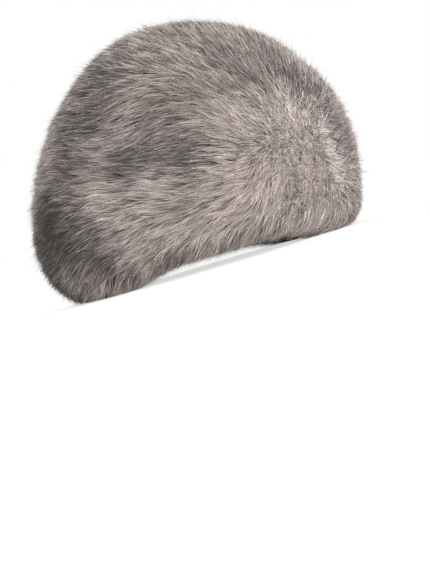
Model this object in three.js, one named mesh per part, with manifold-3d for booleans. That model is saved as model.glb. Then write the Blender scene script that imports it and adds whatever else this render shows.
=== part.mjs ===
// A round fur hat with a tall soft crown. Its lower edge turns in to an oval mouth, and the hat
// stands on the flat foot under that edge. Millimetres, +Z up, the front towards -Y, the foot
// on Z = 0, the origin under the middle of the hat.
// It is two pieces: the hide, a thin hollow leather wall, and the fur that covers it.

import * as THREE from "three";
import { mergeVertices } from "three/addons/utils/BufferGeometryUtils.js";
import Module from "manifold-3d";

const wasm = await Module();
wasm.setup();

// The outer form of the fur: one row for each level, from the mouth, out along the foot, round
// the lower edge and up to the middle of the crown. Each size is a distance from the axis.
const LEVELS = [
  { height: 0, left: 79, right: 79, front: 99, back: 99 },
  { height: 0, left: 98, right: 99, front: 114, back: 115 },
  { height: 3, left: 110, right: 112, front: 124, back: 126 },
  { height: 12, left: 120, right: 118.5, front: 130, back: 132 },
  { height: 30, left: 129, right: 123.5, front: 134, back: 136 },
  { height: 55, left: 129, right: 128.5, front: 135, back: 137 },
  { height: 80, left: 122.5, right: 128, front: 131, back: 133.5 },
  { height: 105, left: 112, right: 123, front: 122, back: 125 },
  { height: 130, left: 96, right: 110.5, front: 107, back: 110 },
  { height: 152, left: 77, right: 93.5, front: 87, back: 90 },
  { height: 170, left: 54, right: 69, front: 62, back: 65 },
  { height: 182, left: 34, right: 38, front: 36, back: 38 },
  { height: 186.5, left: 12, right: 13, front: 12, back: 13 },
  { height: 187, left: 0, right: 0, front: 0, back: 0 },
];

// Depths below the outer form. The dense under hair reaches the form along the foot, rows 0
// and 1 of the levels, and is set back in full from row 4 up, where locks stand on it.
const SET_BACK = 6;
const SET_BACK_FROM_ROW = 1;
const FULL_SET_BACK_ROW = 4;
const HAIR_ROOTS = 12.7;
const HIDE_OUTSIDE = 13;
const HIDE_WALL = 2;

// The lower edge touches down at the two sides and is raised between them, most at the front:
// in full up to one angle from the front or the back, and not at all beyond the other.
const RIM_RISE_FRONT = 10;
const RIM_RISE_BACK = 6;
const FULL_RISE_ANGLE = THREE.MathUtils.degToRad(24);
const NO_RISE_ANGLE = THREE.MathUtils.degToRad(57);
const RIM_RISE_FADES_BY = 75;

// Shallow hollows of the soft crown. Each fades out at its reach above and below its middle and
// at its reach to each side. Angles are in degrees, from the front towards the right.
const HOLLOWS = [
  { height: 96, angle: -22, depth: 5.5, reach: 26, sideReach: 52 },
  { height: 138, angle: 70, depth: 3, reach: 34, sideReach: 40 },
  { height: 104, angle: 158, depth: 5, reach: 28, sideReach: 70 },
];

// The hair parts on a short line at the front right and runs away from it. Low down it also
// hangs, and under the lower edge it turns in to the mouth. On the left it is swept up a little,
// by an angle that fades out at a distance from one place.
const PARTING = new THREE.Line3(new THREE.Vector3(74, -109, 56), new THREE.Vector3(84, -90, 102));
const HANGS_BELOW = 80;
const HANG = 0.15;
const TURN_IN = 0.9;
const SWEPT_PLACE = new THREE.Vector3(-86, -72, 98);
const SWEEP_REACH = 85;
const SWEEP = THREE.MathUtils.degToRad(16);

// A lock of guard hair is a ridge that rises out of the under hair from its root to near its
// tip. One row for each section: how far along, how wide, and how much of the set back it fills.
const LOCK_SECTIONS = [
  { along: 0, width: 12, fills: 0.1 },
  { along: 0.4, width: 30, fills: 0.6 },
  { along: 0.78, width: 24, fills: 1 },
  { along: 1, width: 4, fills: 0.55 },
];
const LOCK_EDGE_BURIED = 1.8;
const LOCK_UNDERSIDE_BURIED = 2.8;
const LOCK_LENGTH = 60;
const LOCK_LENGTH_SPREAD = 0.3;
const LOCK_SPACING = 39;
const LOCK_ROOM_ROUND_EDGE = 4;
const LOCK_TRIES = 9000;
const LOWEST_LOCK_ROW = 3;

// Facets of the two walls, and the finer grid on which a lock finds the form
const FACETS_ROUND = 36;
const FACETS_UP = LEVELS.length - 1;
const GRID_ROUND = 120;
const GRID_UP = 78;

const HIDE_LOOK = { color: 0xcdbba4, roughness: 0.85, metalness: 0 };
const FUR_LOOK = { color: 0x9c908a, roughness: 0.9, metalness: 0 };
const SEED = 7;
const UP = new THREE.Vector3(0, 0, 1);

// The form's outline on one of its four sides
function sideOutline(side) {
  return new THREE.CatmullRomCurve3(
    LEVELS.map((row) => new THREE.Vector3(row[side], 0, row.height)),
    false,
    "catmullrom",
    0.5,
  );
}

const OUTLINES = {
  left: sideOutline("left"),
  right: sideOutline("right"),
  front: sideOutline("front"),
  back: sideOutline("back"),
};

// 1 at no distance, falling smoothly to 0 at the reach and beyond
function fade(distance, reach) {
  return 1 - THREE.MathUtils.smoothstep(Math.abs(distance), 0, reach);
}

// How far the rim is raised, fading out with height
function rimRise(angle, height) {
  const ahead = Math.cos(angle);
  const rise = ahead > 0 ? RIM_RISE_FRONT : RIM_RISE_BACK;
  const none = Math.cos(NO_RISE_ANGLE);
  const full = Math.cos(FULL_RISE_ANGLE);
  const share = THREE.MathUtils.smoothstep(Math.abs(ahead), none, full);
  return rise * share * fade(height, RIM_RISE_FADES_BY);
}

// How far the hollows press the form in
function pressedIn(angle, height) {
  return HOLLOWS.reduce((sum, hollow) => {
    const turned = THREE.MathUtils.radToDeg(angle) - hollow.angle;
    const turn = turned - 360 * Math.round(turned / 360);
    const share = fade(height - hollow.height, hollow.reach) * fade(turn, hollow.sideReach);
    return sum + hollow.depth * share;
  }, 0);
}

// A point of the outer form. The angle runs from the front towards the right, and rise from 0
// at the mouth to 1 at the middle of the crown.
function formPoint(angle, rise) {
  const across = Math.sin(angle);
  const ahead = Math.cos(angle);
  const beside = OUTLINES[across > 0 ? "right" : "left"].getPoint(rise);
  const before = OUTLINES[ahead > 0 ? "front" : "back"].getPoint(rise);
  const height = Math.max(0, beside.z);
  const point = new THREE.Vector3(beside.x * across, -before.x * ahead, 0);
  const reach = point.length();
  if (reach > 0) point.multiplyScalar(1 - Math.min(1, pressedIn(angle, height) / reach));
  point.z = height + rimRise(angle, height);
  return point;
}

// The direction straight out of the form
function formNormal(angle, rise) {
  const step = 1e-3;
  if (rise > 1 - step) return UP.clone();
  const upwards = formPoint(angle, rise + step).sub(formPoint(angle, Math.max(0, rise - step)));
  const onwards = formPoint(angle + step, rise).sub(formPoint(angle - step, rise));
  return onwards.cross(upwards).normalize();
}

// A place on the form: its point, its normal and its row of the levels, whole or in between
function formPlace(angle, rise) {
  const row = rise * (LEVELS.length - 1);
  return { point: formPoint(angle, rise), normal: formNormal(angle, rise), row };
}

function pointBelow(place, depth) {
  return place.point.clone().addScaledVector(place.normal, -depth);
}

// The form on a regular grid: rings from the mouth up, then the middle of the crown
function formGrid(round, up) {
  const grid = [];
  for (let ring = 0; ring < up; ring++) {
    for (let column = 0; column < round; column++) {
      grid.push(formPlace((2 * Math.PI * column) / round, ring / up));
    }
  }
  grid.push(formPlace(0, 1));
  return grid;
}

// How deep the top of the under hair lies
function setBack({ row }) {
  return SET_BACK * THREE.MathUtils.smoothstep(row, SET_BACK_FROM_ROW, FULL_SET_BACK_ROW);
}

function addQuad(faces, a, b, c, d) {
  faces.push(a, b, c, a, c, d);
}

function closedGeometry(points, faces) {
  const geometry = new THREE.BufferGeometry().setFromPoints(points);
  geometry.setIndex(faces);
  geometry.computeVertexNormals();
  return geometry;
}

// A hollow wall between two depths below the form, open at the mouth
function wallGeometry(outside, inside) {
  const grid = formGrid(FACETS_ROUND, FACETS_UP);
  const points = [
    ...grid.map((place) => pointBelow(place, outside(place))),
    ...grid.map((place) => pointBelow(place, inside)),
  ];
  const crown = grid.length - 1;
  const inner = grid.length;
  const faces = [];
  for (let column = 0; column < FACETS_ROUND; column++) {
    const next = (column + 1) % FACETS_ROUND;
    for (let ring = 0; ring < FACETS_UP - 1; ring++) {
      const [a, b] = [column, next].map((k) => ring * FACETS_ROUND + k);
      const [c, d] = [b, a].map((k) => k + FACETS_ROUND);
      addQuad(faces, a, b, c, d);
      addQuad(faces, inner + a, inner + d, inner + c, inner + b);
    }
    const [a, b] = [column, next].map((k) => (FACETS_UP - 1) * FACETS_ROUND + k);
    faces.push(a, b, crown);
    faces.push(inner + b, inner + a, inner + crown);
    addQuad(faces, inner + column, inner + next, next, column);
  }
  return closedGeometry(points, faces);
}

// The place on the form below or above a point
function placeNear(grid, point) {
  let nearest = grid[0];
  for (const place of grid) {
    if (place.point.distanceToSquared(point) < nearest.point.distanceToSquared(point)) nearest = place;
  }
  const off = point.clone().sub(nearest.point).dot(nearest.normal);
  return { ...nearest, point: point.clone().addScaledVector(nearest.normal, -off) };
}

// The way the hair lies at a place on the form
function hairDirection({ point, normal }) {
  const parting = PARTING.closestPointToPoint(point, true, new THREE.Vector3());
  const away = point.clone().sub(parting).normalize();
  const toMouth = UP.clone().cross(point).cross(normal).normalize();
  const pull = HANG * fade(point.z, HANGS_BELOW) + TURN_IN * Math.max(0, -normal.z);
  const direction = away.addScaledVector(toMouth, pull).projectOnPlane(normal).normalize();
  const sweep = SWEEP * fade(point.distanceTo(SWEPT_PLACE), SWEEP_REACH);
  return direction.applyAxisAngle(normal, -sweep);
}

// Numbers from 0 to 1 in a fixed order, so that the hat is the same each time
function numberSource(seed) {
  let state = seed;
  return () => {
    state = (Math.imul(state, 1664525) + 1013904223) >>> 0;
    return state / 2 ** 32;
  };
}

// Roots all over the form above the lower edge, no two too near. A lock near the edge is
// smaller, so that it ends before the foot.
function lockRoots(random) {
  const lowest = LOWEST_LOCK_ROW / (LEVELS.length - 1);
  const roots = [];
  for (let i = 0; i < LOCK_TRIES; i++) {
    const place = formPlace(2 * Math.PI * random(), THREE.MathUtils.lerp(lowest, 1, random()));
    const size = Math.min(1, (place.point.z + LOCK_ROOM_ROUND_EDGE) / LOCK_LENGTH);
    const spread = 1 + LOCK_LENGTH_SPREAD * (random() - 0.5);
    const free = roots.every((root) => root.place.point.distanceTo(place.point) > LOCK_SPACING * size);
    if (free) roots.push({ place, size, length: LOCK_LENGTH * size * spread });
  }
  return roots;
}

// A lock that lies along the form, through four-sided sections
function lockGeometry(grid, root) {
  const points = [];
  let place = root.place;
  let reached = 0;
  for (const { along, width, fills } of LOCK_SECTIONS) {
    const step = hairDirection(place).multiplyScalar((along - reached) * root.length);
    place = placeNear(grid, place.point.clone().add(step));
    reached = along;
    const aside = hairDirection(place).cross(place.normal).multiplyScalar((width / 2) * root.size);
    const right = placeNear(grid, place.point.clone().add(aside));
    const left = placeNear(grid, place.point.clone().sub(aside));
    points.push(
      pointBelow(place, setBack(place) * (1 - fills)),
      pointBelow(right, setBack(right) + LOCK_EDGE_BURIED),
      pointBelow(place, setBack(place) + LOCK_UNDERSIDE_BURIED),
      pointBelow(left, setBack(left) + LOCK_EDGE_BURIED),
    );
  }
  const faces = [];
  const last = points.length - 4;
  for (let here = 0; here < last; here += 4) {
    for (let corner = 0; corner < 4; corner++) {
      const next = (corner + 1) % 4;
      addQuad(faces, here + corner, here + next, here + 4 + next, here + 4 + corner);
    }
  }
  addQuad(faces, 3, 2, 1, 0);
  addQuad(faces, last, last + 1, last + 2, last + 3);
  return closedGeometry(points, faces);
}

function solidFrom(geometry) {
  const bare = geometry.clone();
  bare.deleteAttribute("normal");
  bare.deleteAttribute("uv");
  const { index, attributes } = mergeVertices(bare);
  const vertProperties = new Float32Array(attributes.position.array);
  const triVerts = new Uint32Array(index.array);
  return new wasm.Manifold(new wasm.Mesh({ numProp: 3, vertProperties, triVerts }));
}

function geometryFrom(solid) {
  const { vertProperties, triVerts } = solid.getMesh();
  const geometry = new THREE.BufferGeometry();
  geometry.setAttribute("position", new THREE.BufferAttribute(vertProperties, 3));
  geometry.setIndex(new THREE.BufferAttribute(triVerts, 1));
  geometry.computeVertexNormals();
  return geometry;
}

// Under hair all round the hide with the locks fused to it, cut level at the foot
function furGeometry() {
  const grid = formGrid(GRID_ROUND, GRID_UP);
  const random = numberSource(SEED);
  let fur = solidFrom(wallGeometry(setBack, HAIR_ROOTS));
  for (const root of lockRoots(random)) {
    fur = fur.add(solidFrom(lockGeometry(grid, root)));
  }
  const belowFoot = new THREE.BoxGeometry(400, 400, 50).translate(0, 0, -25);
  return geometryFrom(fur.subtract(solidFrom(belowFoot)));
}

function piece(name, geometry, look) {
  const mesh = new THREE.Mesh(geometry, new THREE.MeshStandardMaterial(look));
  mesh.name = name;
  return mesh;
}

const hat = new THREE.Group();
hat.add(
  piece("hide", wallGeometry(() => HIDE_OUTSIDE, HIDE_OUTSIDE + HIDE_WALL), HIDE_LOOK),
  piece("fur", furGeometry(), FUR_LOOK),
);
const middle = new THREE.Box3().setFromObject(hat).getCenter(new THREE.Vector3());
hat.position.set(-middle.x, -middle.y, 0);

export default hat;
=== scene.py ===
"""A round fur hat with a tall soft crown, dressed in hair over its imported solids.

The hide becomes a smooth suede wall. The fur becomes a dark under hair with a dense coat and
longer guard hair on it, which part on a short line at the front right and run away from it.
Sizes are in metres, +Z up, the front towards -Y and the floor at Z = 0.
"""

import math

import bpy
import numpy as np
from bpy.props import FloatProperty, FloatVectorProperty, IntProperty, PointerProperty
from bpy.types import Operator, Panel, PropertyGroup
from mathutils import Matrix, Vector
from mathutils.bvhtree import BVHTree
from mathutils.kdtree import KDTree


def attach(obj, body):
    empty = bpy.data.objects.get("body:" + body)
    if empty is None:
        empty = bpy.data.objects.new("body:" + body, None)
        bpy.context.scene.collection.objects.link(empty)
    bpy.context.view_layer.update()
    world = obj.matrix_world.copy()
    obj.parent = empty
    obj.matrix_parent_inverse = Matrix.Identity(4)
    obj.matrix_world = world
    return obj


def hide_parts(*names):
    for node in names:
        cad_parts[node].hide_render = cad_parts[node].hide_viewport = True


bl_info = {
    "name": "Fur Hat",
    "version": (1, 0, 0),
    "blender": (4, 5, 0),
    "location": "View3D > Sidebar > Fur Hat",
    "description": "Grows the hair of a fur hat on its packed solids and sets up a studio for it",
    "category": "Object",
}

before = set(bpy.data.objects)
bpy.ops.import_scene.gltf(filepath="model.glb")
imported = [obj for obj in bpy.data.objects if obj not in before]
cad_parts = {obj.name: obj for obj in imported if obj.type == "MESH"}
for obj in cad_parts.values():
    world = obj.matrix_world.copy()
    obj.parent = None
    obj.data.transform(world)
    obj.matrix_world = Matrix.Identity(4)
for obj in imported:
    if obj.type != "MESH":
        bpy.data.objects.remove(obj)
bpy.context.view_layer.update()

SEED = 20
UP = np.array((0.0, 0.0, 1.0))

# Keeps a division by a length from failing where there is none
TINY = 1e-12

# The hide: a point inside it that all its outer faces look away from, how close its loose corners
# lie, the smoothing of its facets, how far that smoothing draws the surface in, the thickness of
# its wall, and the gap between it and the under hair
INSIDE_HIDE = Vector((0, -0.003, 0.06))
MERGE_DISTANCE = 0.00001
SMOOTHING_LEVELS = 2
SMOOTHING_LOSS = 0.001
HIDE_WALL = 0.002
GAP_TO_HIDE = 0.00035

# The short line that the hair parts on and runs away from
PARTING_FOOT = np.array((0.0810, -0.098, 0.042))
PARTING_TOP = np.array((0.0785, -0.101, 0.070))

# The pull towards the mouth: the height that it starts below, its strength at the floor, and what
# is added where the hide faces straight down
HANGS_BELOW = 0.06
HANG = 0.4
TURN_IN = 0.45

# Where the flow is swept aside. One row for each: the middle, how far it reaches, and the turn in
# degrees, clockwise when looked at from outside, or anticlockwise where it is negative.
SWEEPS = (
    {"middle": (-0.087, -0.078, 0.083), "reach": 0.072, "turn": 21.0},
    {"middle": (-0.036, -0.110, 0.068), "reach": 0.045, "turn": 19.0},
    {"middle": (-0.097, -0.070, 0.044), "reach": 0.050, "turn": -20.0},
    {"middle": (-0.031, -0.085, 0.116), "reach": 0.052, "turn": -40.0},
    {"middle": (0.028, -0.108, 0.088), "reach": 0.028, "turn": 32.0},
    {"middle": (0.027, -0.111, 0.049), "reach": 0.029, "turn": -42.0},
    {"middle": (0.061, -0.097, 0.033), "reach": 0.042, "turn": 30.0},
)

# Folds in the hair, and painted light and shade. One row for each: the places that it runs through,
# how far it
# reaches to each side, how far it lifts the tips, in metres, and what it adds to the tone of the
# hair:
# painted light where it is above 0, and painted shade where it is below.
FOLDS_AND_PAINTED_SHADING = (
    # The crease at the front left, with its tips lower and painted shade in it
    {
        "places": ((-0.048, -0.101, 0.084), (-0.028, -0.109, 0.087), (-0.008, -0.116, 0.078)),
        "reach": 0.025,
        "lift": -0.0035,
        "painted_shading": -0.44,
    },
    # The ridge under the crease, with painted light on it
    {
        "places": ((-0.062, -0.098, 0.070), (-0.045, -0.109, 0.062), (-0.010, -0.118, 0.045)),
        "reach": 0.02,
        "lift": 0.001,
        "painted_shading": 0.06,
    },
    # The left slope of the crown, with painted shade on it
    {
        "places": ((-0.046, -0.055, 0.148), (-0.074, -0.066, 0.115), (-0.080, -0.070, 0.103)),
        "reach": 0.042,
        "lift": -0.001,
        "painted_shading": -0.28,
    },
    # The left side, low down, with painted shade on it
    {
        "places": ((-0.107, -0.010, 0.026), (-0.104, -0.033, 0.055)),
        "reach": 0.042,
        "lift": -0.001,
        "painted_shading": -0.65,
    },
    # The front left, low down, with painted shade on it
    {
        "places": ((-0.098, -0.050, 0.060), (-0.091, -0.071, 0.048), (-0.082, -0.079, 0.038)),
        "reach": 0.042,
        "lift": -0.001,
        "painted_shading": -0.45,
    },
    # The front over the crease, with painted shade on it
    {
        "places": ((-0.040, -0.090, 0.114), (-0.020, -0.098, 0.110)),
        "reach": 0.028,
        "lift": 0.0,
        "painted_shading": -0.15,
    },
    # The middle of the front, with painted light on it
    {
        "places": ((0.018, -0.112, 0.084), (0.014, -0.116, 0.060)),
        "reach": 0.034,
        "lift": 0.0,
        "painted_shading": 0.22,
    },
    # Left of the parting, with painted light on it
    {
        "places": ((0.010, -0.117, 0.038), (0.058, -0.096, 0.055), (0.060, -0.092, 0.085)),
        "reach": 0.042,
        "lift": 0.0,
        "painted_shading": 0.28,
    },
    # Above and right of the parting, with painted shade on it
    {
        "places": ((0.063, -0.078, 0.105), (0.079, -0.077, 0.094), (0.088, -0.071, 0.056)),
        "reach": 0.04,
        "lift": 0.0,
        "painted_shading": -0.36,
    },
    # Under the parting, with painted light on it
    {
        "places": ((0.058, -0.094, 0.028), (0.074, -0.080, 0.044)),
        "reach": 0.03,
        "lift": 0.0,
        "painted_shading": 0.15,
    },
    # The rim in the middle of the front, with painted shade on it
    {
        "places": ((0.020, -0.113, 0.024), (0.036, -0.099, 0.014)),
        "reach": 0.028,
        "lift": 0.0,
        "painted_shading": -0.17,
    },
    # The rim at the front left, with painted light on it
    {
        "places": ((-0.088, -0.070, 0.010), (-0.062, -0.093, 0.014)),
        "reach": 0.022,
        "lift": 0.0,
        "painted_shading": 0.3,
    },
)

# Hair stands up within one distance of the parting and lies down in full beyond the other. From
# one height on it lies down more and more towards the floor too. Where it stands it runs less far,
# is denser, strays more, and has painted light on it: a lighter tone, and colours that leave out
# its darker roots.
STANDS_WITHIN = 0.006
LIES_BEYOND = 0.085
LIES_BELOW = 0.045
STANDING_RUN = 0.46
STANDING_DENSITY = 1.0
STANDING_TURN = 50.0
STANDING_PAINTED_LIGHT = 0.1
ROOTS_SKIPPED_FOR_PAINTED_LIGHT = 0.6

# The stations of a strand, from root to tip. One row for each: how far along, how high above the
# hide where the hair lies and where it stands, how wide, how much of its place in the tuft it
# keeps, and how far its tuft leans to the middle of its lock.
STATION_KEYS = ("along", "lying", "standing", "width", "spread", "lean")
COAT_STATIONS = [
    dict(zip(STATION_KEYS, row))
    for row in (
        (0.0, 0.0056, 0.0085, 0.8, 1.0, 0.0),
        (0.4, 0.0100, 0.0118, 1.0, 0.75, 0.15),
        (1.0, 0.0122, 0.0124, 0.0, 0.45, 0.35),
    )
]
GUARD_STATIONS = [
    dict(zip(STATION_KEYS, row))
    for row in (
        (0.0, 0.0060, 0.0095, 0.8, 1.0, 0.0),
        (0.45, 0.0112, 0.0124, 1.0, 0.85, 0.15),
        (1.0, 0.0145, 0.0136, 0.0, 0.7, 0.35),
    )
]

# How low the hair may reach over the floor, the UV map that colours it, and how wide a strand is
# on that map
LOWEST_HAIR = 0.0003
BAKE_MAP = "OFBake"
ISLAND_WIDTH = 0.004

# How the hair strays, by locks, by waves over the hat, by tufts and by strands. Angles are in
# degrees, lengths in metres, and tones run from 0, the darkest, to 1.
MIDDLE_TONE = 0.5
TONE_LIMITS = (0.02, 0.98)
LOCK_COUNT = 11000
LOCK_TURN = 4.5
LOCK_LIFT = 0.0008
LOCK_TONE = 0.05
WAVE_LENGTHS = (0.034, 0.019, 0.011)
WAVE_TURN = 6.5
WAVE_TONE = 0.06
TUFT_TURN = 4.5
TUFT_TONE = 0.11
STRAND_TONE = 0.26
ROLL = 28.0

# The sides of the hat that the coat is divided into, and those of the guard hair
QUARTERS = ("front", "right", "back", "left")
HALVES = ("front", "back")


def unit(vectors):
    """The vectors at length 1."""
    lengths = np.linalg.norm(vectors, axis=-1, keepdims=True)
    return vectors / np.maximum(lengths, TINY)


def dot(a, b):
    """The products of two lists of vectors, row by row, as a column."""
    return (a * b).sum(axis=-1, keepdims=True)


def smooth_step(values, start, end):
    """0 up to start, 1 from end on, and smooth between them."""
    share = np.clip((values - start) / (end - start), 0, 1)
    return share * share * (3 - 2 * share)


def fade(values, reach):
    """1 at no distance, falling smoothly to 0 at the reach and beyond."""
    return 1 - smooth_step(np.abs(values), 0, reach)


def deselect_all():
    """Leaves nothing selected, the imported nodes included."""
    bpy.ops.object.select_all(action="DESELECT")


def make_active(thing):
    """Selects one object alone."""
    deselect_all()
    thing.select_set(True)
    bpy.context.view_layer.objects.active = thing


def remove(thing):
    """Deletes a helper object with its mesh."""
    mesh = thing.data
    bpy.data.objects.remove(thing)
    bpy.data.meshes.remove(mesh)


def apply_modifier(thing, name, kind, **settings):
    """Adds a modifier with these settings and applies it."""
    make_active(thing)
    modifier = thing.modifiers.new(name, kind)
    for key, value in settings.items():
        setattr(modifier, key, value)
    bpy.ops.object.modifier_apply(modifier=modifier.name)


def finish_piece(piece, node, material):
    """Gives a piece its material, and its place in the frame."""
    piece.data.materials.clear()
    piece.data.materials.append(material)
    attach(piece, "root")
    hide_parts(node)


def hide_surface(name):
    """A smooth sheet on the hide's outer face, from the mouth up to the crown."""
    sheet = bpy.data.objects.new(name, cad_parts["hide"].data.copy())
    bpy.context.scene.collection.objects.link(sheet)
    make_active(sheet)
    bpy.ops.object.mode_set(mode="EDIT")
    bpy.ops.mesh.select_all(action="SELECT")
    bpy.ops.mesh.remove_doubles(threshold=MERGE_DISTANCE)
    bpy.ops.mesh.tris_convert_to_quads()
    bpy.ops.mesh.select_mode(type="FACE")
    bpy.ops.mesh.select_all(action="DESELECT")
    bpy.ops.object.mode_set(mode="OBJECT")
    # The inner faces go, and the outer ones stay
    for face in sheet.data.polygons:
        face.select = (face.center - INSIDE_HIDE).dot(face.normal) < 0
    bpy.ops.object.mode_set(mode="EDIT")
    bpy.ops.mesh.delete(type="FACE")
    bpy.ops.object.mode_set(mode="OBJECT")
    apply_modifier(
        sheet, "Smooth", "SUBSURF", levels=SMOOTHING_LEVELS, render_levels=SMOOTHING_LEVELS
    )
    push_out(sheet, SMOOTHING_LOSS)
    bpy.ops.object.shade_smooth()
    return sheet


def push_out(sheet, distance):
    """Moves a sheet along its normals."""
    make_active(sheet)
    bpy.ops.object.mode_set(mode="EDIT")
    bpy.ops.mesh.select_all(action="SELECT")
    bpy.ops.transform.shrink_fatten(value=distance, use_even_offset=True)
    bpy.ops.object.mode_set(mode="OBJECT")


def thicken(sheet, thickness, offset):
    """Makes a sheet a closed wall, on its outer side for an offset of 1 and inwards for -1."""
    apply_modifier(
        sheet, "Wall", "SOLIDIFY", thickness=thickness, offset=offset, use_even_offset=True
    )


def quarter_of(points):
    """The side of the hat that each point is on: 0 front, 1 right, 2 back and 3 left."""
    turns = np.arctan2(points[:, 0], -points[:, 1]) / (math.pi / 2)
    return np.round(turns).astype(int) % len(QUARTERS)


def half_of(points):
    """The half of the hat that each point is on: 0 front and 1 back."""
    return (points[:, 1] > 0).astype(int)


class GrowthSurface:
    """The surface that the hair grows from, for looking up places and normals on it.

    Its smoothing leaves it with four corners on every face.
    """

    def __init__(self, sheet):
        mesh = sheet.data
        self.places = read_vectors(mesh.vertices, "co")
        self.normals = read_vectors(mesh.vertices, "normal")
        corners = np.empty(len(mesh.loops), dtype=np.int32)
        mesh.loops.foreach_get("vertex_index", corners)
        self.corners = corners.reshape(-1, 4)
        self.tree = BVHTree.FromPolygons(self.places.tolist(), self.corners.tolist())

    def normals_at(self, spots, faces):
        """Smooth normals at spots on these faces."""
        corners = self.corners[faces]
        apart = np.linalg.norm(self.places[corners] - spots[:, None], axis=2)
        weights = 1 / (apart**2 + TINY)
        return unit((self.normals[corners] * weights[..., None]).sum(axis=1))

    def nearest(self, points):
        """The spots on the surface nearest to the points, and the normals there."""
        found = [self.tree.find_nearest(point) for point in points.tolist()]
        spots = np.array([place[0] for place in found])
        faces = np.array([place[2] for place in found])
        return spots, self.normals_at(spots, faces)

    def spread_roots(self, count, random):
        """Spots all over the surface, closer together at the parting, and the normals there."""
        a, b, c, d = (self.places[self.corners[:, corner]] for corner in range(4))
        areas = np.linalg.norm(np.cross(c - a, d - b), axis=1)
        areas = areas * (1 + STANDING_DENSITY * (1 - how_flat(a)))
        # Even steps through all the area, face by face, leave no part bare
        reached = np.cumsum(areas) / areas.sum()
        shares = (np.arange(count) + random.random(count)) / count
        faces = np.minimum(np.searchsorted(reached, shares), len(areas) - 1)
        across, down = random.random((2, count, 1))
        top = a[faces] + (b - a)[faces] * across
        bottom = d[faces] + (c - d)[faces] * across
        spots = top + (bottom - top) * down
        return spots, self.normals_at(spots, faces)


def read_vectors(items, key):
    """A vector property of all items as rows."""
    values = np.empty(len(items) * 3)
    items.foreach_get(key, values)
    return values.reshape(-1, 3)


class Waves:
    """A smooth field that wanders between about -1 and 1 over the hat.

    It is a sum of sine waves, a few for each length, that run in random directions.
    """

    def __init__(self, random, lengths=WAVE_LENGTHS, each=4):
        directions = unit(random.normal(size=(len(lengths) * each, 3)))
        self.turns = directions * (2 * math.pi / np.repeat(lengths, each))[:, None]
        self.starts = random.random(len(self.turns)) * 2 * math.pi
        self.share = 1 / math.sqrt(len(self.turns) / 2)

    def at(self, points):
        """The field at the points."""
        return np.sin(points @ self.turns.T + self.starts).sum(axis=1) * self.share


def from_line(points, start, end):
    """The vectors from the nearest places on a line to the points."""
    line = end - start
    share = np.clip((points - start) @ line / (line @ line), 0, 1)
    return points - (start + share[:, None] * line)


def how_flat(points):
    """0 where the hair stands up at the parting, and 1 where it lies down."""
    apart = np.linalg.norm(from_line(points, PARTING_FOOT, PARTING_TOP), axis=1)
    by_distance = smooth_step(apart, STANDS_WITHIN, LIES_BEYOND)
    by_height = fade(points[:, 2], LIES_BELOW)
    return np.maximum(by_distance, by_height)


def fold_and_shading_share(points, fold_and_shading):
    """How much of a row of the folds, with its lift and its painted light and shade, there is at
    the points, from 0 to 1.
    """
    places = np.array(fold_and_shading["places"])
    apart = [
        np.linalg.norm(from_line(points, start, end), axis=1)
        for start, end in zip(places, places[1:])
    ]
    return fade(np.min(apart, axis=0), fold_and_shading["reach"])


def hair_flow(points, normals):
    """The way the hair lies at places on the hide."""
    away = unit(from_line(points, PARTING_FOOT, PARTING_TOP))
    to_mouth = unit(np.cross(np.cross(UP, points), normals))
    pull = HANG * fade(points[:, 2:], HANGS_BELOW) + TURN_IN * np.maximum(0, -normals[:, 2:])
    flow = away + to_mouth * pull
    flow = unit(flow - normals * dot(flow, normals))
    for sweep in SWEEPS:
        apart = np.linalg.norm(points - sweep["middle"], axis=1)
        flow = turned(flow, normals, -sweep["turn"] * fade(apart, sweep["reach"]))
    return flow


def turned(directions, normals, angles):
    """Directions turned about the normals by angles in degrees."""
    turn = np.radians(angles)[:, None]
    return directions * np.cos(turn) + np.cross(normals, directions) * np.sin(turn)


class Locks:
    """Locks of hair, a few millimetres wide, that the tufts in them lean towards."""

    def __init__(self, surface, random):
        self.middles, _ = surface.spread_roots(LOCK_COUNT, random)
        self.turns = LOCK_TURN * random.normal(size=LOCK_COUNT)
        self.lifts = LOCK_LIFT * random.normal(size=LOCK_COUNT)
        self.tones = LOCK_TONE * random.normal(size=LOCK_COUNT)
        self.tree = KDTree(LOCK_COUNT)
        for index, middle in enumerate(self.middles.tolist()):
            self.tree.insert(middle, index)
        self.tree.balance()

    def around(self, spots):
        """The lock that each spot is in."""
        return np.array([self.tree.find(spot)[1] for spot in spots.tolist()])


class Pelt:
    """What all the hair shares: the surface, its locks, and the wandering of flow and tone."""

    def __init__(self):
        random = np.random.default_rng(SEED)
        sheet = hide_surface("growth")
        self.surface = GrowthSurface(sheet)
        remove(sheet)
        self.locks = Locks(self.surface, random)
        self.flow_waves = Waves(random)
        self.tone_waves = Waves(random)


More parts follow.
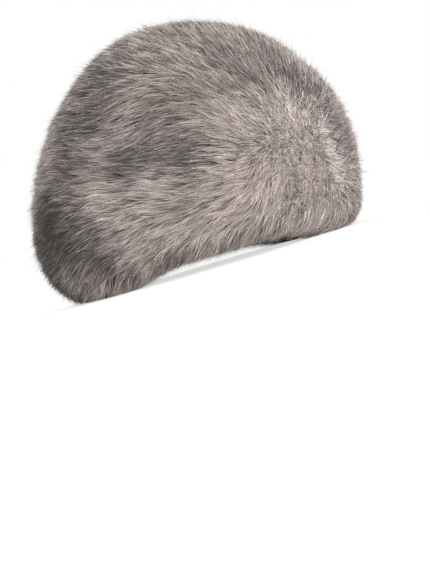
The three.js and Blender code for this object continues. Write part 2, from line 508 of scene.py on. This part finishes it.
class Tufts:
    """Tufts of hair: their tones, and the lines that they follow along the hide."""

    def __init__(self, pelt, stations, settings, random):
        count = settings.tufts
        spots, normals = pelt.surface.spread_roots(count, random)
        lock = pelt.locks.around(spots)
        self.lies = how_flat(spots)
        # How light each tuft is, with the painted light and shade of the folds, and how much its
        # tips are lifted
        self.lifts = pelt.locks.lifts[lock]
        # Where the hair stands, its tuft gets painted light
        self.tones = MIDDLE_TONE + STANDING_PAINTED_LIGHT * (1 - self.lies) ** 2 + pelt.locks.tones[lock]
        self.tones += WAVE_TONE * pelt.tone_waves.at(spots) + TUFT_TONE * random.normal(size=count)
        for fold_and_shading in FOLDS_AND_PAINTED_SHADING:
            share = fold_and_shading_share(spots, fold_and_shading)
            self.lifts = self.lifts + fold_and_shading["lift"] * share
            # Painted light or painted shade from this row, by its sign
            self.tones += fold_and_shading["painted_shading"] * share
        # How far each tuft turns out of the flow, runs along it and leans to its lock
        stray = TUFT_TURN + (STANDING_TURN - TUFT_TURN) * (1 - self.lies) ** 2
        angles = WAVE_TURN * pelt.flow_waves.at(spots) + pelt.locks.turns[lock]
        angles += stray * random.normal(size=count)
        runs = settings.length * (STANDING_RUN + (1 - STANDING_RUN) * self.lies)
        lean = pelt.locks.middles[lock] - spots
        lean = (lean - normals * dot(lean, normals)) * self.lies[:, None]
        # Its way over the hide, from station to station
        self.places = [spots]
        self.normals = [normals]
        self.flows = [turned(hair_flow(spots, normals), normals, angles)]
        for before, after in zip(stations, stations[1:]):
            step = (runs * (after["along"] - before["along"]))[:, None]
            reached = self.places[-1] + self.flows[-1] * step
            reached = reached + lean * (after["lean"] - before["lean"])
            spots, normals = pelt.surface.nearest(reached)
            self.places.append(spots + (reached - spots) * settings.straight)
            self.normals.append(normals)
            self.flows.append(turned(hair_flow(spots, normals), normals, angles))


def strand_points(tufts, stations, settings, random):
    """The points and the width directions of all strands, station by station."""
    each = settings.strands
    count = len(tufts.tones) * each
    turn = random.random(count) * 2 * math.pi
    reach = settings.spread * np.sqrt(random.random(count))
    beside = (reach * np.cos(turn))[:, None]
    ahead = (reach * np.sin(turn))[:, None]
    roll = np.radians(ROLL) * random.normal(size=(count, 1))
    longer = settings.uneven * random.normal(size=(count, 1))
    # Most tips lie a little lower than the mean, and a few stand well above it
    higher = settings.loose * (random.exponential(size=(count, 1)) - 1)
    higher += np.repeat(tufts.lifts, each)[:, None]
    lies = np.repeat(tufts.lies, each)[:, None]
    points = []
    widths = []
    for index, station in enumerate(stations):
        place = np.repeat(tufts.places[index], each, axis=0)
        normal = np.repeat(tufts.normals[index], each, axis=0)
        flow = np.repeat(tufts.flows[index], each, axis=0)
        side = np.cross(flow, normal)
        kept = 1 - (1 - station["spread"]) * lies
        height = station["standing"] + (station["lying"] - station["standing"]) * lies
        point = place + normal * (height + higher * station["along"])
        point = point + side * beside * kept + flow * (ahead * kept + longer * station["along"])
        point[:, 2] = np.maximum(point[:, 2], LOWEST_HAIR)
        points.append(point)
        widths.append(side * np.cos(roll) + normal * np.sin(roll))
    return points, widths


def strand_tones(tufts, each, random):
    """A tone for each strand, within the limits."""
    tones = np.repeat(tufts.tones, each)
    return np.clip(tones + STRAND_TONE * random.normal(size=len(tones)), *TONE_LIMITS)


def strand_mesh(name, stations, points, widths, tones, starts, half_width):
    """One mesh of flat strands that end in a point.

    U holds the tone, and V runs from a start at the root to 1 at the tip.
    """
    count = len(tones)
    last = len(stations) - 1
    corners = np.empty((count, 2 * last + 1, 3))
    across = np.empty((count, 2 * last + 1))
    along = np.empty((count, 2 * last + 1))
    for index, station in enumerate(stations[:-1]):
        edge = widths[index] * (half_width * station["width"])
        corners[:, 2 * index] = points[index] - edge
        corners[:, 2 * index + 1] = points[index] + edge
        across[:, 2 * index] = tones - ISLAND_WIDTH / 2
        across[:, 2 * index + 1] = tones + ISLAND_WIDTH / 2
        along[:, 2 * index] = starts + (1 - starts) * station["along"]
        along[:, 2 * index + 1] = along[:, 2 * index]
    corners[:, -1] = points[-1]
    across[:, -1] = tones
    along[:, -1] = 1
    corners[..., 2] = np.maximum(corners[..., 2], LOWEST_HAIR)
    # Two triangles between neighbouring stations, and one that ends in the tip
    faces = []
    for left in range(0, 2 * (last - 1), 2):
        faces += [(left, left + 1, left + 3), (left, left + 3, left + 2)]
    faces.append((2 * last - 2, 2 * last - 1, 2 * last))
    first_corners = np.arange(count)[:, None, None] * (2 * last + 1)
    triangles = (first_corners + np.array(faces)).reshape(-1, 3)
    mesh = mesh_from_triangles(name, corners.reshape(-1, 3), triangles)
    bake = mesh.uv_layers.new(name=BAKE_MAP)
    order = triangles.ravel()
    places = np.stack((across.ravel()[order], along.ravel()[order]), axis=1)
    bake.data.foreach_set("uv", places.ravel())
    return mesh


def mesh_from_triangles(name, corners, triangles):
    """A smooth mesh from arrays of corners and triangles."""
    mesh = bpy.data.meshes.new(name)
    mesh.vertices.add(len(corners))
    mesh.vertices.foreach_set("co", corners.ravel())
    mesh.loops.add(triangles.size)
    mesh.loops.foreach_set("vertex_index", triangles.ravel().astype(np.int32))
    mesh.polygons.add(len(triangles))
    mesh.polygons.foreach_set("loop_start", np.arange(0, triangles.size, 3, dtype=np.int32))
    mesh.polygons.foreach_set("use_smooth", np.ones(len(triangles), dtype=bool))
    mesh.update(calc_edges=True)
    mesh.validate()
    return mesh


def grow_hair(pelt, label, sides, side_of, stations, settings, material):
    """Grows one kind of hair all over the hat, as one piece for each side."""
    random = np.random.default_rng((SEED, settings.tufts))
    tufts = Tufts(pelt, stations, settings, random)
    points, widths = strand_points(tufts, stations, settings, random)
    tones = strand_tones(tufts, settings.strands, random)
    # The colours of standing hair start part of the way to the tip, which leaves out its darker
    # roots as painted light
    starts = ROOTS_SKIPPED_FOR_PAINTED_LIGHT * (1 - np.repeat(tufts.lies, settings.strands))
    side = np.repeat(side_of(tufts.places[0]), settings.strands)
    for index, side_name in enumerate(sides):
        here = side == index
        name = f"{label}_{side_name}"
        mesh = strand_mesh(
            name,
            stations,
            [point[here] for point in points],
            [width[here] for width in widths],
            tones[here],
            starts[here],
            settings.width / 2,
        )
        piece = bpy.data.objects.new(name, mesh)
        bpy.context.scene.collection.objects.link(piece)
        finish_piece(piece, "fur", material)


# The colours of a strand, by how far along it is from root to tip: where the root's colour gives
# way to the middle's, where that gives way to the tip's, and where the roughness changes from one
# value to the other. All the colours are scaled by the tone, from the darkest to the lightest.
ROOT_TO_MIDDLE = (0.0, 0.5)
MIDDLE_TO_TIP = (0.45, 1.0)
GLOSS_GROWS = (0.2, 1.0)
HAIR_ROUGHNESS = (0.65, 0.35)
TONE_SCALE = (0.2, 1.8)
HAIR_SPECULAR = 0.5

# A nap: the detail of its patches and of its grain, the grain's share in their mix, the part of
# the mix that runs from dark to light, and the part of the grain that the roughness follows
PATCH_DETAIL = 3
GRAIN_DETAIL = 5
GRAIN_SHARE = 0.45
NAP_CONTRAST = (0.35, 0.65)
GRAIN_RANGE = (0.3, 0.7)
NAP_ROUGHNESS = (0.95, 0.75)
NAP_SPECULAR = 0.2

# How fine the patches and the grain of each nap are, as noise scales, and the grain's depth
SUEDE_NAP = {"patches": 45, "grain": 1400, "depth": 0.0003}
UNDER_HAIR_NAP = {"patches": 120, "grain": 1800, "depth": 0.001}

# The under hair has painted light on it, in full up to one distance from the middle of the parting,
# and not at all beyond the other
PAINTED_LIGHT_AROUND_PARTING = (0.02, 0.085)

# The range of a mask, the same range the other way round, and plain white
WHOLE = (0.0, 1.0)
FADING = (1.0, 0.0)
WHITE = (1, 1, 1, 1)

# The places of a Mix node's two inputs and its result, which share their names, for each kind
MIX_FACTOR = 0
MIX_SOCKETS = {"FLOAT": (2, 3, 0), "RGBA": (6, 7, 2)}


def new_group(name, inputs, outputs):
    """An empty shader node group with these sockets, as (name, kind, default)."""
    group = bpy.data.node_groups.new(name, "ShaderNodeTree")
    for label, kind, default in inputs:
        socket = group.interface.new_socket(label, in_out="INPUT", socket_type=kind)
        socket.default_value = default
    for label, kind in outputs:
        group.interface.new_socket(label, in_out="OUTPUT", socket_type=kind)
    return group


def add_node(tree, kind, place, **settings):
    """A node at a place in the tree, with these properties set."""
    node = tree.nodes.new(kind)
    node.location = place
    for key, value in settings.items():
        setattr(node, key, value)
    return node


def map_range(tree, place, value, old, new=WHOLE):
    """Maps a value smoothly from the old range to the new one."""
    node = add_node(tree, "ShaderNodeMapRange", place, interpolation_type="SMOOTHSTEP")
    tree.links.new(value, node.inputs["Value"])
    node.inputs["From Min"].default_value = old[0]
    node.inputs["From Max"].default_value = old[1]
    node.inputs["To Min"].default_value = new[0]
    node.inputs["To Max"].default_value = new[1]
    return node.outputs["Result"]


def mix(tree, place, kind, share, first, second):
    """Mixes two colours or numbers. What it is given are sockets or plain values."""
    node = add_node(tree, "ShaderNodeMix", place, data_type=kind)
    first_place, second_place, result_place = MIX_SOCKETS[kind]
    for index, given in ((MIX_FACTOR, share), (first_place, first), (second_place, second)):
        if isinstance(given, bpy.types.NodeSocket):
            tree.links.new(given, node.inputs[index])
        else:
            node.inputs[index].default_value = given
    return node.outputs[result_place]


def root_to_tip_group():
    """Colours a strand from its root to its tip, darker or lighter by its tone."""
    name = "Root to tip"
    if name in bpy.data.node_groups:
        return bpy.data.node_groups[name]
    group = new_group(
        name,
        (
            ("Tone", "NodeSocketFloat", 0.5),
            ("Along", "NodeSocketFloat", 0.5),
            ("Root", "NodeSocketColor", (0.1, 0.1, 0.1, 1)),
            ("Middle", "NodeSocketColor", (0.3, 0.3, 0.3, 1)),
            ("Tip", "NodeSocketColor", (0.6, 0.6, 0.6, 1)),
        ),
        (("Colour", "NodeSocketColor"), ("Roughness", "NodeSocketFloat")),
    )
    given = add_node(group, "NodeGroupInput", (-800, 0)).outputs
    low = map_range(group, (-500, 200), given["Along"], ROOT_TO_MIDDLE)
    high = map_range(group, (-500, -100), given["Along"], MIDDLE_TO_TIP)
    lower = mix(group, (-250, 200), "RGBA", low, given["Root"], given["Middle"])
    whole = mix(group, (0, 0), "RGBA", high, lower, given["Tip"])
    light = map_range(group, (-500, -400), given["Tone"], WHOLE, TONE_SCALE)
    toned = add_node(group, "ShaderNodeVectorMath", (250, 0), operation="SCALE")
    group.links.new(whole, toned.inputs[0])
    group.links.new(light, toned.inputs["Scale"])
    rough = map_range(group, (0, -300), given["Along"], GLOSS_GROWS, HAIR_ROUGHNESS)
    result = add_node(group, "NodeGroupOutput", (500, 0))
    group.links.new(toned.outputs["Vector"], result.inputs["Colour"])
    group.links.new(rough, result.inputs["Roughness"])
    return group


def nap_group():
    """A short soft nap: patches of two colours, and a fine height for a bump."""
    name = "Nap"
    if name in bpy.data.node_groups:
        return bpy.data.node_groups[name]
    group = new_group(
        name,
        (
            ("Place", "NodeSocketVector", (0, 0, 0)),
            ("Dark", "NodeSocketColor", (0.1, 0.1, 0.1, 1)),
            ("Light", "NodeSocketColor", (0.3, 0.3, 0.3, 1)),
            ("Patches", "NodeSocketFloat", 40.0),
            ("Grain", "NodeSocketFloat", 900.0),
        ),
        (
            ("Colour", "NodeSocketColor"),
            ("Height", "NodeSocketFloat"),
            ("Roughness", "NodeSocketFloat"),
        ),
    )
    given = add_node(group, "NodeGroupInput", (-900, 0)).outputs
    patches = add_node(group, "ShaderNodeTexNoise", (-600, 200))
    patches.inputs["Detail"].default_value = PATCH_DETAIL
    group.links.new(given["Place"], patches.inputs["Vector"])
    group.links.new(given["Patches"], patches.inputs["Scale"])
    grain = add_node(group, "ShaderNodeTexNoise", (-600, -150))
    grain.inputs["Detail"].default_value = GRAIN_DETAIL
    group.links.new(given["Place"], grain.inputs["Vector"])
    group.links.new(given["Grain"], grain.inputs["Scale"])
    height = grain.outputs["Fac"]
    both = mix(group, (-350, 0), "FLOAT", GRAIN_SHARE, patches.outputs["Fac"], height)
    share = map_range(group, (-150, 150), both, NAP_CONTRAST)
    rough = map_range(group, (-150, -250), height, GRAIN_RANGE, NAP_ROUGHNESS)
    colour = mix(group, (100, 100), "RGBA", share, given["Dark"], given["Light"])
    result = add_node(group, "NodeGroupOutput", (400, 0))
    group.links.new(colour, result.inputs["Colour"])
    group.links.new(height, result.inputs["Height"])
    group.links.new(rough, result.inputs["Roughness"])
    return group


def new_material(name):
    """A material with only its shader and output, and its tree."""
    material = bpy.data.materials.new(name)
    material.use_nodes = True
    return material, material.node_tree, material.node_tree.nodes["Principled BSDF"]


def colour_of(value):
    """A colour property as a socket's default."""
    return (*value, 1)


def hair_material(name, root, middle, tip):
    """Glossy hair, coloured by its tone and along its length."""
    material, tree, shader = new_material(name)
    bake = add_node(tree, "ShaderNodeUVMap", (-900, 0), uv_map=BAKE_MAP)
    parts = add_node(tree, "ShaderNodeSeparateXYZ", (-700, 0))
    tree.links.new(bake.outputs["UV"], parts.inputs[0])
    strand = add_node(tree, "ShaderNodeGroup", (-450, 0), node_tree=root_to_tip_group())
    tree.links.new(parts.outputs["X"], strand.inputs["Tone"])
    tree.links.new(parts.outputs["Y"], strand.inputs["Along"])
    strand.inputs["Root"].default_value = colour_of(root)
    strand.inputs["Middle"].default_value = colour_of(middle)
    strand.inputs["Tip"].default_value = colour_of(tip)
    tree.links.new(strand.outputs["Colour"], shader.inputs["Base Color"])
    tree.links.new(strand.outputs["Roughness"], shader.inputs["Roughness"])
    shader.inputs["Specular IOR Level"].default_value = HAIR_SPECULAR
    return material


def nap_material(name, dark, light, patches, grain, depth):
    """Suede, or the top of a dense under hair."""
    material, tree, shader = new_material(name)
    place = add_node(tree, "ShaderNodeTexCoord", (-900, 0))
    nap = add_node(tree, "ShaderNodeGroup", (-600, 0), node_tree=nap_group())
    tree.links.new(place.outputs["Object"], nap.inputs["Place"])
    nap.inputs["Dark"].default_value = colour_of(dark)
    nap.inputs["Light"].default_value = colour_of(light)
    nap.inputs["Patches"].default_value = patches
    nap.inputs["Grain"].default_value = grain
    bump = add_node(tree, "ShaderNodeBump", (-300, -200))
    bump.inputs["Distance"].default_value = depth
    tree.links.new(nap.outputs["Height"], bump.inputs["Height"])
    tree.links.new(nap.outputs["Colour"], shader.inputs["Base Color"])
    tree.links.new(nap.outputs["Roughness"], shader.inputs["Roughness"])
    tree.links.new(bump.outputs["Normal"], shader.inputs["Normal"])
    shader.inputs["Specular IOR Level"].default_value = NAP_SPECULAR
    return material


def blend_around(material, middle, reach, colour):
    """Gives a material another colour around a place.

    It is there in full up to the first reach, and gone at the second.
    """
    tree = material.node_tree
    base = tree.nodes["Principled BSDF"].inputs["Base Color"]
    before = base.links[0].from_socket
    place = add_node(tree, "ShaderNodeTexCoord", (-900, 500))
    apart = add_node(tree, "ShaderNodeVectorMath", (-700, 500), operation="DISTANCE")
    tree.links.new(place.outputs["Object"], apart.inputs[0])
    apart.inputs[1].default_value = middle
    share = map_range(tree, (-500, 500), apart.outputs["Value"], reach, FADING)
    tree.links.new(mix(tree, (-250, 400), "RGBA", share, before, colour_of(colour)), base)


class HideSettings(PropertyGroup):
    """The suede side of the pelt and the under hair on its other side."""

    dark: FloatVectorProperty(
        name="Suede shadow",
        description="Colour of the darker patches of the suede",
        subtype="COLOR",
        default=(0.50, 0.41, 0.30),
    )
    light: FloatVectorProperty(
        name="Suede",
        description="Colour of the lighter patches of the suede",
        subtype="COLOR",
        default=(0.66, 0.55, 0.42),
    )
    under_hair: FloatProperty(
        name="Under hair depth",
        description="How thick the dense under hair is",
        unit="LENGTH",
        default=0.006,
    )
    under_dark: FloatVectorProperty(
        name="Under hair shadow",
        description="Colour of the under hair in its hollows",
        subtype="COLOR",
        default=(0.08, 0.065, 0.057),
    )
    under_light: FloatVectorProperty(
        name="Under hair",
        description="Colour of the under hair where it is fullest",
        subtype="COLOR",
        default=(0.16, 0.135, 0.12),
    )
    # Painted light: the lighter colour of the under hair around the parting
    under_painted_light_at_parting: FloatVectorProperty(
        name="Under hair at the parting",
        description="Colour of the under hair where the hair over it parts",
        subtype="COLOR",
        default=(0.56, 0.48, 0.43),
    )


class CoatSettings(PropertyGroup):
    """The dense coat that gives the fur its body."""

    tufts: IntProperty(name="Tufts", description="How many tufts there are", default=38000)
    strands: IntProperty(name="Strands", description="Strands in each tuft", default=5)
    length: FloatProperty(
        name="Length",
        description="How far a strand runs along the hide",
        unit="LENGTH",
        default=0.0115,
    )
    width: FloatProperty(
        name="Width",
        description="How wide a strand is at its widest",
        unit="LENGTH",
        default=0.00036,
    )
    spread: FloatProperty(
        name="Spread",
        description="How far from the middle of its tuft a strand may root",
        unit="LENGTH",
        default=0.0013,
    )
    loose: FloatProperty(
        name="Looseness",
        description="How much the height of the tips varies",
        unit="LENGTH",
        default=0.0005,
    )
    uneven: FloatProperty(
        name="Unevenness",
        description="How much the length of the strands varies",
        unit="LENGTH",
        default=0.0014,
    )
    straight: FloatProperty(
        name="Straightness",
        description="How much of its straight way a strand keeps where the hide bends",
        subtype="FACTOR",
        default=0.3,
    )
    root: FloatVectorProperty(
        name="Root",
        description="Colour at the root",
        subtype="COLOR",
        default=(0.11, 0.092, 0.082),
    )
    middle: FloatVectorProperty(
        name="Middle",
        description="Colour half way along",
        subtype="COLOR",
        default=(0.235, 0.196, 0.176),
    )
    tip: FloatVectorProperty(
        name="Tip",
        description="Colour at the tip",
        subtype="COLOR",
        default=(0.40, 0.345, 0.313),
    )


class GuardSettings(PropertyGroup):
    """The longer, finer guard hair that lies over the coat."""

    tufts: IntProperty(name="Tufts", description="How many tufts there are", default=56000)
    strands: IntProperty(name="Strands", description="Strands in each tuft", default=2)
    length: FloatProperty(
        name="Length",
        description="How far a strand runs along the hide",
        unit="LENGTH",
        default=0.0135,
    )
    width: FloatProperty(
        name="Width",
        description="How wide a strand is at its widest",
        unit="LENGTH",
        default=0.0002,
    )
    spread: FloatProperty(
        name="Spread",
        description="How far from the middle of its tuft a strand may root",
        unit="LENGTH",
        default=0.0016,
    )
    loose: FloatProperty(
        name="Looseness",
        description="How much the height of the tips varies",
        unit="LENGTH",
        default=0.0013,
    )
    uneven: FloatProperty(
        name="Unevenness",
        description="How much the length of the strands varies",
        unit="LENGTH",
        default=0.002,
    )
    straight: FloatProperty(
        name="Straightness",
        description="How much of its straight way a strand keeps where the hide bends",
        subtype="FACTOR",
        default=0.6,
    )
    root: FloatVectorProperty(
        name="Root",
        description="Colour at the root",
        subtype="COLOR",
        default=(0.11, 0.092, 0.082),
    )
    middle: FloatVectorProperty(
        name="Middle",
        description="Colour half way along",
        subtype="COLOR",
        default=(0.39, 0.333, 0.305),
    )
    # The tips' light colour is partly the hair's own silver and partly painted highlight, for the
    # glints along the strands
    tip: FloatVectorProperty(
        name="Tip",
        description="Colour at the tip",
        subtype="COLOR",
        default=(0.86, 0.79, 0.755),
    )


class StudioSettings(PropertyGroup):
    """The camera, the floor and the light."""

    distance: FloatProperty(
        name="Camera distance",
        description="From the middle of the hat to the camera, level with the floor",
        unit="LENGTH",
        default=1.8,
    )
    turn: FloatProperty(
        name="Camera turn",
        description="How far the camera is turned from the front towards the right",
        unit="ROTATION",
        default=math.radians(-9),
    )
    height: FloatProperty(
        name="Camera height",
        description="Above the floor",
        unit="LENGTH",
        default=0.035,
    )
    roll: FloatProperty(
        name="Camera roll",
        description="How far the picture of the hat leans to the left",
        unit="ROTATION",
        default=math.radians(16.6),
    )
    key: FloatProperty(
        name="Key light",
        description="Strength of the light from the front right",
        default=3.15,
    )
    fill: FloatProperty(
        name="Fill light",
        description="Strength of the light from the front left",
        default=0.3,
    )
    rim: FloatProperty(
        name="Rim light",
        description="Strength of the light from behind",
        default=1.2,
    )
    ambient: FloatProperty(
        name="Soft light",
        description="Strength of the light from all round",
        default=0.25,
    )


class FURHAT_OT_hide(Operator):
    """Makes the hide a smooth suede wall"""

    bl_idname = "fur_hat.hide"
    bl_label = "Hide"

    def execute(self, context):
        settings = context.scene.fur_hat_hide
        wall = hide_surface("hide_wall")
        thicken(wall, HIDE_WALL, -1)
        suede = nap_material("Suede", settings.dark, settings.light, **SUEDE_NAP)
        finish_piece(wall, "hide", suede)
        return {"FINISHED"}


class FURHAT_OT_under_hair(Operator):
    """Makes the dense under hair on the outside of the hide"""

    bl_idname = "fur_hat.under_hair"
    bl_label = "Under hair"

    def execute(self, context):
        settings = context.scene.fur_hat_hide
        shell = hide_surface("under_hair")
        push_out(shell, GAP_TO_HIDE)
        thicken(shell, settings.under_hair, 1)
        dark = settings.under_dark
        light = settings.under_light
        material = nap_material("Under hair", dark, light, **UNDER_HAIR_NAP)
        # Painted light on the under hair around the middle of the parting
        parting = (PARTING_FOOT + PARTING_TOP) / 2
        blend_around(material, parting, PAINTED_LIGHT_AROUND_PARTING, settings.under_painted_light_at_parting)
        finish_piece(shell, "fur", material)
        return {"FINISHED"}


class FURHAT_OT_coat(Operator):
    """Grows the dense coat, as one piece on each side of the hat"""

    bl_idname = "fur_hat.coat"
    bl_label = "Coat"

    def execute(self, context):
        settings = context.scene.fur_hat_coat
        material = hair_material("Coat hair", settings.root, settings.middle, settings.tip)
        grow_hair(Pelt(), "coat", QUARTERS, quarter_of, COAT_STATIONS, settings, material)
        return {"FINISHED"}


class FURHAT_OT_guard_hair(Operator):
    """Grows the longer guard hair over the coat, as one piece for the front and one for the back"""

    bl_idname = "fur_hat.guard_hair"
    bl_label = "Guard hair"

    def execute(self, context):
        settings = context.scene.fur_hat_guard
        material = hair_material("Guard hair", settings.root, settings.middle, settings.tip)
        grow_hair(Pelt(), "guard_hair", HALVES, half_of, GUARD_STATIONS, settings, material)
        return {"FINISHED"}


# The framing: the middle of the hat, the picture's size, the pixel of it that shows this middle,
# how much one pixel covers there, and the camera's sensor in millimetres
HAT_MIDDLE = Vector((0, 0, 0.092))
PICTURE_SIZE = (430, 573)
MIDDLE_PIXEL = (181, 149.5)
METRES_PER_PIXEL = 0.000766
SENSOR = 36.0
CLIP_START = 0.01

# The floor: how wide it is, its colour, and how strongly it glows
FLOOR_SIZE = 60.0
FLOOR_COLOUR = (0.85, 0.85, 0.85, 1)
FLOOR_GLOW = 0.65

# The broad soft lights, in degrees: turned from the front towards the right, and above the floor
LIGHTS = (
    {"name": "key", "turn": 8.0, "elevation": 7.0},
    {"name": "fill", "turn": -15.0, "elevation": 30.0},
    {"name": "rim", "turn": -165.0, "elevation": 20.0},
)
LIGHT_SOFTNESS = math.radians(20)
LIGHT_COLOUR = (1.0, 0.985, 0.97)


def camera_axes(view, roll):
    """The picture's right and up directions for a view direction and a roll."""
    level = view.cross(Vector((0, 0, 1))).normalized()
    upright = level.cross(view).normalized()
    right = level * math.cos(roll) - upright * math.sin(roll)
    up = upright * math.cos(roll) + level * math.sin(roll)
    return right, up


def add_camera(settings):
    """The camera, aimed so that the hat's middle falls on its pixel."""
    ahead = Vector((math.sin(settings.turn), -math.cos(settings.turn), 0))
    place = ahead * settings.distance + Vector((0, 0, settings.height))
    right, up = camera_axes((HAT_MIDDLE - place).normalized(), settings.roll)
    across = (PICTURE_SIZE[0] / 2 - MIDDLE_PIXEL[0]) * METRES_PER_PIXEL
    down = (PICTURE_SIZE[1] / 2 - MIDDLE_PIXEL[1]) * METRES_PER_PIXEL
    view = (HAT_MIDDLE + right * across - up * down - place).normalized()
    right, up = camera_axes(view, settings.roll)
    camera = bpy.data.objects.new("camera", bpy.data.cameras.new("camera"))
    axes = Matrix((right, up, -view)).transposed().to_4x4()
    camera.matrix_world = Matrix.Translation(place) @ axes
    camera.data.sensor_width = SENSOR
    camera.data.lens = SENSOR * settings.distance / (PICTURE_SIZE[1] * METRES_PER_PIXEL)
    camera.data.clip_start = CLIP_START
    camera.data.dof.use_dof = False
    bpy.context.scene.collection.objects.link(camera)
    bpy.context.scene.camera = camera


def floor_material():
    """Plain white, with a glow that only the camera sees, which keeps its shadows pale."""
    material, tree, shader = new_material("White floor")
    path = add_node(tree, "ShaderNodeLightPath", (-600, 0))
    glow = add_node(tree, "ShaderNodeMath", (-300, 0), operation="MULTIPLY")
    tree.links.new(path.outputs["Is Camera Ray"], glow.inputs[0])
    glow.inputs[1].default_value = FLOOR_GLOW
    tree.links.new(glow.outputs[0], shader.inputs["Emission Strength"])
    shader.inputs["Emission Color"].default_value = WHITE
    shader.inputs["Base Color"].default_value = FLOOR_COLOUR
    shader.inputs["Roughness"].default_value = 1.0
    shader.inputs["Specular IOR Level"].default_value = 0.0
    return material


def add_floor():
    """A white floor that runs out of sight on all sides."""
    deselect_all()
    bpy.ops.mesh.primitive_plane_add(size=FLOOR_SIZE)
    floor = bpy.context.active_object
    floor.name = "floor"
    floor.data.materials.append(floor_material())


def add_lights(settings):
    """The lights of the table, each with its strength from the settings."""
    for row in LIGHTS:
        turn = math.radians(row["turn"])
        elevation = math.radians(row["elevation"])
        level = math.cos(elevation)
        towards = Vector((math.sin(turn) * level, -math.cos(turn) * level, math.sin(elevation)))
        light = bpy.data.lights.new(row["name"], "SUN")
        light.energy = getattr(settings, row["name"])
        light.angle = LIGHT_SOFTNESS
        light.color = LIGHT_COLOUR
        lamp = bpy.data.objects.new(row["name"], light)
        lamp.rotation_euler = towards.to_track_quat("Z", "Y").to_euler()
        bpy.context.scene.collection.objects.link(lamp)


def light_surroundings(settings):
    """White behind the hat, and a low even light from all round."""
    world = bpy.data.worlds.new("studio")
    world.use_nodes = True
    tree = world.node_tree
    background = tree.nodes["Background"]
    seen = add_node(tree, "ShaderNodeLightPath", (-600, 0)).outputs["Is Camera Ray"]
    strength = mix(tree, (-300, 0), "FLOAT", seen, settings.ambient, 1.0)
    tree.links.new(strength, background.inputs["Strength"])
    background.inputs["Color"].default_value = WHITE
    bpy.context.scene.world = world


class FURHAT_OT_studio(Operator):
    """Sets up the camera, the floor and the light"""

    bl_idname = "fur_hat.studio"
    bl_label = "Studio"

    def execute(self, context):
        settings = context.scene.fur_hat_studio
        add_camera(settings)
        add_floor()
        add_lights(settings)
        light_surroundings(settings)
        context.scene.view_settings.view_transform = "Standard"
        context.scene.cycles.denoising_prefilter = "NONE"
        return {"FINISHED"}


class FURHAT_PT_panel(Panel):
    """The hat's pieces and the studio, in the 3D view's sidebar"""

    bl_idname = "FURHAT_PT_panel"
    bl_label = "Fur Hat"
    bl_space_type = "VIEW_3D"
    bl_region_type = "UI"
    bl_category = "Fur Hat"

    def draw(self, context):
        for title, group_name, operators in PANEL_PARTS:
            box = self.layout.box()
            box.label(text=title)
            group = getattr(context.scene, group_name)
            for key in group.__annotations__:
                box.prop(group, key)
            for operator in operators:
                box.operator(operator.bl_idname)


SETTINGS = {
    "fur_hat_hide": HideSettings,
    "fur_hat_coat": CoatSettings,
    "fur_hat_guard": GuardSettings,
    "fur_hat_studio": StudioSettings,
}
OPERATORS = (
    FURHAT_OT_hide,
    FURHAT_OT_under_hair,
    FURHAT_OT_coat,
    FURHAT_OT_guard_hair,
    FURHAT_OT_studio,
)
PANEL_PARTS = (
    ("Hide and under hair", "fur_hat_hide", OPERATORS[:2]),
    ("Coat", "fur_hat_coat", OPERATORS[2:3]),
    ("Guard hair", "fur_hat_guard", OPERATORS[3:4]),
    ("Studio", "fur_hat_studio", OPERATORS[4:]),
)


def register():
    """Adds the classes, and their settings to the scene."""
    for cls in (*SETTINGS.values(), *OPERATORS, FURHAT_PT_panel):
        bpy.utils.register_class(cls)
    for name, cls in SETTINGS.items():
        setattr(bpy.types.Scene, name, PointerProperty(type=cls))


def unregister():
    """Takes the settings and the classes away again."""
    for name in SETTINGS:
        delattr(bpy.types.Scene, name)
    for cls in reversed((*SETTINGS.values(), *OPERATORS, FURHAT_PT_panel)):
        bpy.utils.unregister_class(cls)


def main():
    """Builds the hat and the studio."""
    register()
    bpy.ops.fur_hat.studio()
    bpy.ops.fur_hat.hide()
    bpy.ops.fur_hat.under_hair()
    bpy.ops.fur_hat.coat()
    bpy.ops.fur_hat.guard_hair()


if __name__ == "__main__":
    main()
